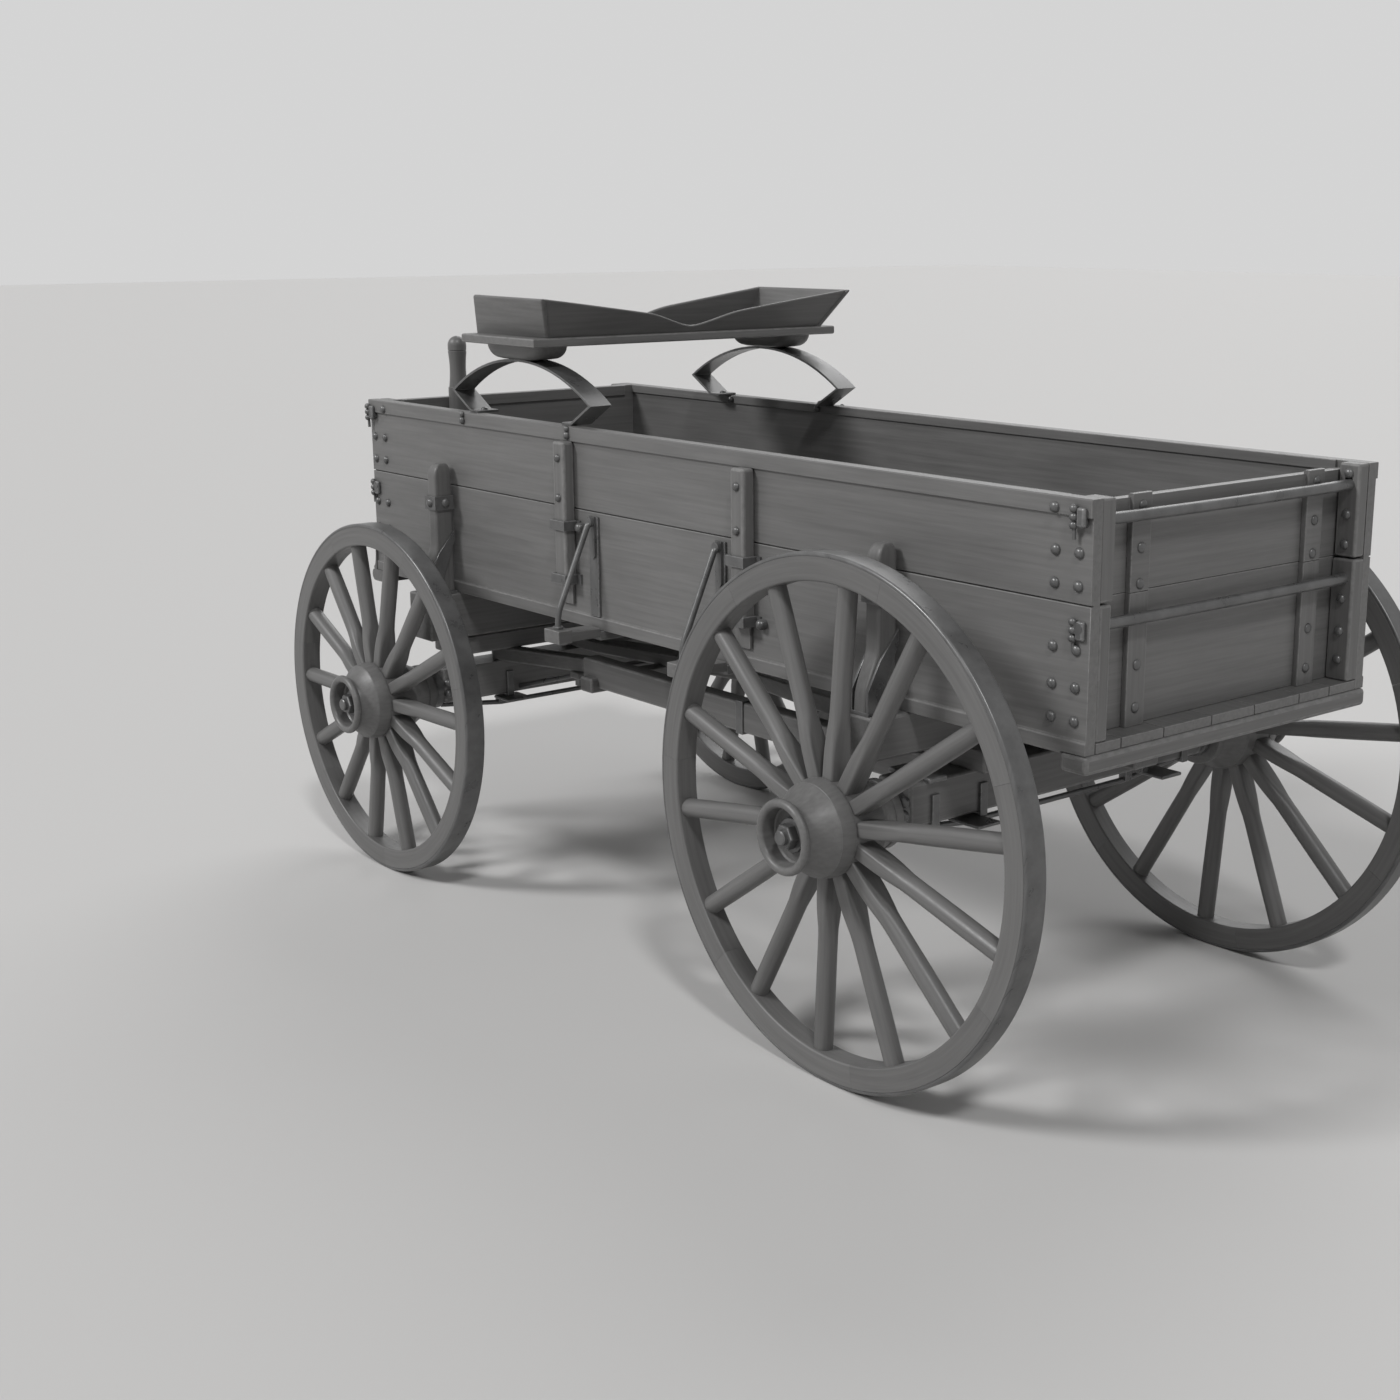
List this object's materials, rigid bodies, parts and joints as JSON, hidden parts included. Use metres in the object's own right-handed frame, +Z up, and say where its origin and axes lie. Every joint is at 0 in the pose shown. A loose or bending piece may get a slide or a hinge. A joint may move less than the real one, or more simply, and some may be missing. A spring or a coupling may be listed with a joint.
{
  "type": "farm wagon",
  "caption": "Horse-drawn farm wagon: two-tier wooden box with sliding end gate and spring seat, on a steering running gear with spoked wheels.",
  "frame": {"origin": "bottom centre of the wagon's box, on the ground between the wheels", "axes": "+X forward along the wagon, +Y to its left, +Z up"},
  "size_m": [3.4998, 1.849, 1.8489],
  "materials": {
    "box_wood": "weathered grey",
    "gear_wood": "weathered grey",
    "iron": "worn"
  },
  "bodies": {
    "wagon": {"floor_boards": "box_wood", "rear_sill": "gear_wood", "middle_sills": "gear_wood", "front_nose": "gear_wood", "side_lower_left": "box_wood", "side_lower_right": "box_wood", "side_upper_left": "box_wood", "side_upper_right": "box_wood", "inner_rails": "box_wood", "front_board_lower": "box_wood", "front_board_upper": "box_wood", "corner_cleats": "gear_wood", "end_rods": "iron", "side_posts": "box_wood", "post_straps": "iron", "brace_plates": "iron", "brace_rods": "iron", "rein_post": "gear_wood", "seat_plank": "box_wood", "seat_tray": "box_wood", "spring_blocks": "gear_wood", "seat_springs": "iron", "front_bolster": "gear_wood", "rear_bolster": "gear_wood", "stakes": "gear_wood", "stake_bands": "iron", "reach": "gear_wood", "rear_hounds": "gear_wood", "rear_axle": "gear_wood", "rear_skeins": "iron", "rear_clips": "iron", "rear_truss": "iron", "king_bolt": "iron"},
    "lower_gate": {"gate_lower": "box_wood"},
    "upper_gate": {"gate_upper": "box_wood"},
    "front_gear": {"front_axle": "gear_wood", "front_skeins": "iron", "sand_bolster": "gear_wood", "front_hounds": "gear_wood", "sway_bar": "gear_wood", "front_clips": "iron", "front_truss": "iron", "hound_braces": "iron"},
    "wheel_rl": {"tyre_rl": "iron", "felloes_rl": "gear_wood", "spokes_rl": "gear_wood", "hub_rl": "gear_wood"},
    "wheel_rr": {"tyre_rr": "iron", "felloes_rr": "gear_wood", "spokes_rr": "gear_wood", "hub_rr": "gear_wood"},
    "wheel_fl": {"tyre_fl": "iron", "felloes_fl": "gear_wood", "spokes_fl": "gear_wood", "hub_fl": "gear_wood"},
    "wheel_fr": {"tyre_fr": "iron", "felloes_fr": "gear_wood", "spokes_fr": "gear_wood", "hub_fr": "gear_wood"}
  },
  "joints": [
    {"name": "lower_gate_lift", "type": "slide", "parent": "wagon", "child": "lower_gate", "axis": [0, 0, 1], "range_m": [0, 0.35]},
    {"name": "upper_gate_lift", "type": "slide", "parent": "lower_gate", "child": "upper_gate", "axis": [0, 0, 1], "range_m": [0, 0.3]},
    {"name": "steer", "type": "hinge", "parent": "wagon", "child": "front_gear", "pos_m": [1.09, 0, 0.6], "axis": [0, 0, 1], "range_deg": [-18, 18]},
    {"name": "spin_rl", "type": "hinge", "parent": "wagon", "child": "wheel_rl", "pos_m": [-1.09, 0.7475, 0.66], "axis": [0, 1, 0], "continuous": true},
    {"name": "spin_rr", "type": "hinge", "parent": "wagon", "child": "wheel_rr", "pos_m": [-1.09, -0.7475, 0.66], "axis": [0, 1, 0], "continuous": true},
    {"name": "spin_fl", "type": "hinge", "parent": "front_gear", "child": "wheel_fl", "pos_m": [1.124, 0.7475, 0.566], "axis": [0, 1, 0], "continuous": true},
    {"name": "spin_fr", "type": "hinge", "parent": "front_gear", "child": "wheel_fr", "pos_m": [1.124, -0.7475, 0.566], "axis": [0, 1, 0], "continuous": true}
  ]
}
